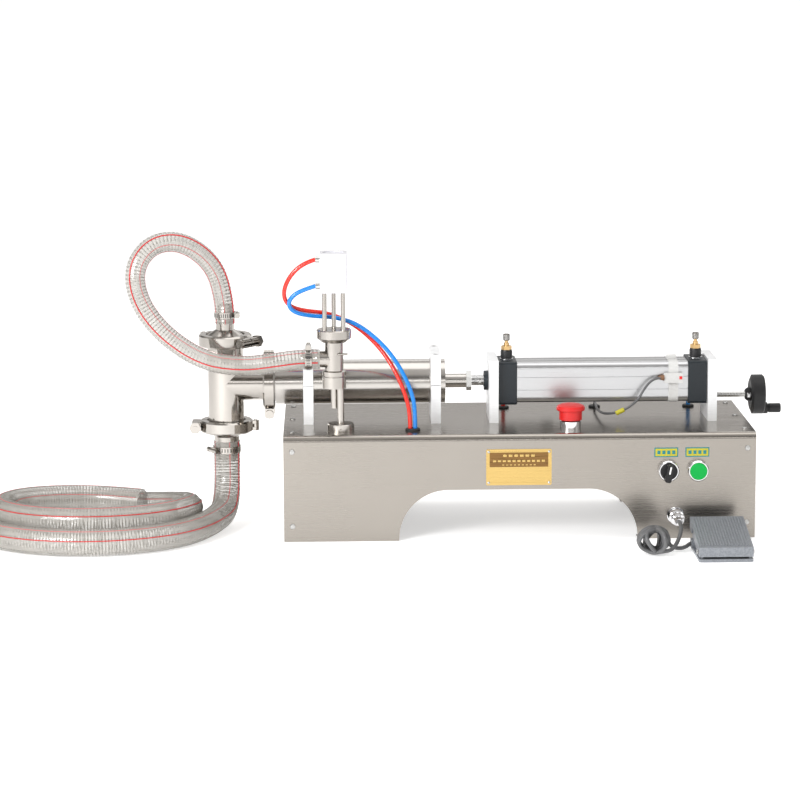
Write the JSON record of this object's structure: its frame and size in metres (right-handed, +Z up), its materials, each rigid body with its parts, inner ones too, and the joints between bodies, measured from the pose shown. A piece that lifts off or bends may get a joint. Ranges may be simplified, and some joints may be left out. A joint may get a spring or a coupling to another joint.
{
  "type": "piston liquid filler",
  "caption": "Bench-top pneumatic piston filler: product cylinder with check-valve tee, hoses, lifting nozzle, sheet-metal base and foot switch.",
  "frame": {"origin": "middle of the bounding box of the machine and its foot switch, on the bench, hoses and cables not counted", "axes": "+X along both cylinders towards the handwheel, +Y from the operator's side towards the back, +Z up"},
  "size_m": [1.174, 0.431, 0.4241],
  "materials": {
    "brushed_base": "brushed",
    "polished_steel": "polished",
    "milled_aluminium": "milled",
    "silver_anodised": "satin anodised",
    "cap_black": "satin",
    "zinc_steel": "zinc plated",
    "chrome": "bright",
    "brass": "satin",
    "gold_plate": "satin",
    "clear_hose": "clear ribbed",
    "red_tube": "gloss",
    "blue_tube": "gloss",
    "cable_grey": "satin",
    "black_rubber": "matt",
    "seal_white": "matt",
    "lift_white": "satin",
    "black_plastic": "matt",
    "estop_red": "satin",
    "start_green": "gloss",
    "foot_grey": "hammered",
    "sensor_grey": "satin"
  },
  "bodies": {
    "machine": {"base_shell": "brushed_base", "end_panels": "brushed_base", "machine_screws": "zinc_steel", "nameplate": "gold_plate", "tube_clamp_bases": "milled_aluminium", "tube_clamp_caps": "milled_aluminium", "cylinder_brackets": "milled_aluminium", "product_cylinder": "polished_steel", "tee_body": "polished_steel", "tee_gaskets": "seal_white", "clamp_halves": "polished_steel", "clamp_bolts": "polished_steel", "hose_barbs": "polished_steel", "hose_clips": "polished_steel", "check_valve_cages": "polished_steel", "transfer_hose": "clear_hose", "suction_hose": "clear_hose", "suction_hose_coil": "clear_hose", "nozzle_body": "polished_steel", "nozzle_union_nut": "polished_steel", "nozzle_standoffs": "polished_steel", "lift_cylinder": "lift_white", "support_rod": "polished_steel", "rod_flange": "polished_steel", "red_air_tube": "red_tube", "blue_air_tube": "blue_tube", "cylinder_barrel": "silver_anodised", "cylinder_caps": "cap_black", "air_fittings": "black_plastic", "port_tubes": "blue_tube", "grommets": "black_rubber", "reed_switch": "sensor_grey", "reed_cable": "cable_grey", "operator_bases": "chrome", "switch_blocks": "black_plastic", "solenoid_valve": "black_plastic", "foot_socket": "chrome", "foot_plug": "chrome", "foot_cable": "cable_grey", "foot_cable_hank": "cable_grey", "foot_base": "foot_grey", "foot_pins": "brass"},
    "piston_train": {"product_piston": "polished_steel", "piston_seals": "seal_white", "piston_rod": "polished_steel", "rod_nuts": "zinc_steel", "air_piston": "chrome"},
    "inlet_ball": {"inlet_check_ball": "polished_steel"},
    "outlet_ball": {"outlet_check_ball": "polished_steel"},
    "nozzle_stem": {"nozzle_stem": "polished_steel"},
    "front_flow_knob": {"front_flow_knob": "brass"},
    "rear_flow_knob": {"rear_flow_knob": "brass"},
    "adjuster": {"lead_screw": "zinc_steel", "handwheel": "black_plastic"},
    "crank_grip": {"crank_grip": "black_plastic"},
    "reed_carriage": {"reed_carriage": "sensor_grey"},
    "estop_head": {"estop_head": "estop_red"},
    "start_button": {"start_button": "start_green"},
    "selector_knob": {"selector_knob": "black_plastic"},
    "foot_pedal": {"foot_pedal": "foot_grey"}
  },
  "joints": [
    {"name": "piston_stroke", "type": "slide", "parent": "machine", "child": "piston_train", "axis": [-1, 0, 0], "range_m": [0, 0.18]},
    {"name": "inlet_ball_lift", "type": "slide", "parent": "machine", "child": "inlet_ball", "axis": [0, 0, 1], "range_m": [0, 0.006]},
    {"name": "outlet_ball_lift", "type": "slide", "parent": "machine", "child": "outlet_ball", "axis": [0, 0, 1], "range_m": [0, 0.006]},
    {"name": "nozzle_stem_lift", "type": "slide", "parent": "machine", "child": "nozzle_stem", "axis": [0, 0, 1], "range_m": [0, 0.01]},
    {"name": "front_flow_turn", "type": "hinge", "parent": "machine", "child": "front_flow_knob", "pos_m": [0.02683, 0.0615, 0.25], "axis": [0, 0, 1], "range_deg": [-1800, 1800]},
    {"name": "rear_flow_turn", "type": "hinge", "parent": "machine", "child": "rear_flow_knob", "pos_m": [0.29783, 0.0615, 0.25], "axis": [0, 0, 1], "range_deg": [-1800, 1800]},
    {"name": "volume_adjust", "type": "hinge", "parent": "machine", "child": "adjuster", "pos_m": [0.33833, 0.097, 0.1745], "axis": [1, 0, 0], "range_deg": [0, 3600]},
    {"name": "reed_travel", "type": "slide", "parent": "machine", "child": "reed_carriage", "axis": [1, 0, 0], "range_m": [0, 0.08]},
    {"name": "grip_spin", "type": "hinge", "parent": "adjuster", "child": "crank_grip", "pos_m": [0.41833, 0.097, 0.154], "axis": [1, 0, 0], "continuous": true},
    {"name": "estop_press", "type": "slide", "parent": "machine", "child": "estop_head", "axis": [0, 0, -1], "range_m": [0, 0.005], "stiffness_N_per_m": 1200, "springref_m": -0.001},
    {"name": "start_press", "type": "slide", "parent": "machine", "child": "start_button", "axis": [0, 1, 0], "range_m": [0, 0.004], "stiffness_N_per_m": 600, "springref_m": -0.001},
    {"name": "selector_turn", "type": "hinge", "parent": "machine", "child": "selector_knob", "pos_m": [0.24543, -0.0685, 0.0973], "axis": [0, 1, 0], "range_deg": [0, 90]},
    {"name": "pedal_press", "type": "hinge", "parent": "machine", "child": "foot_pedal", "pos_m": [0.30833, -0.2035, 0.012], "axis": [-1, 0, 0], "range_deg": [0, 8], "stiffness_Nm_per_rad": 4, "springref_deg": -6.88}
  ],
  "couplings": [
    {"joint": "reed_travel", "follows": "volume_adjust", "m_per_rad": 0.0012732}
  ]
}
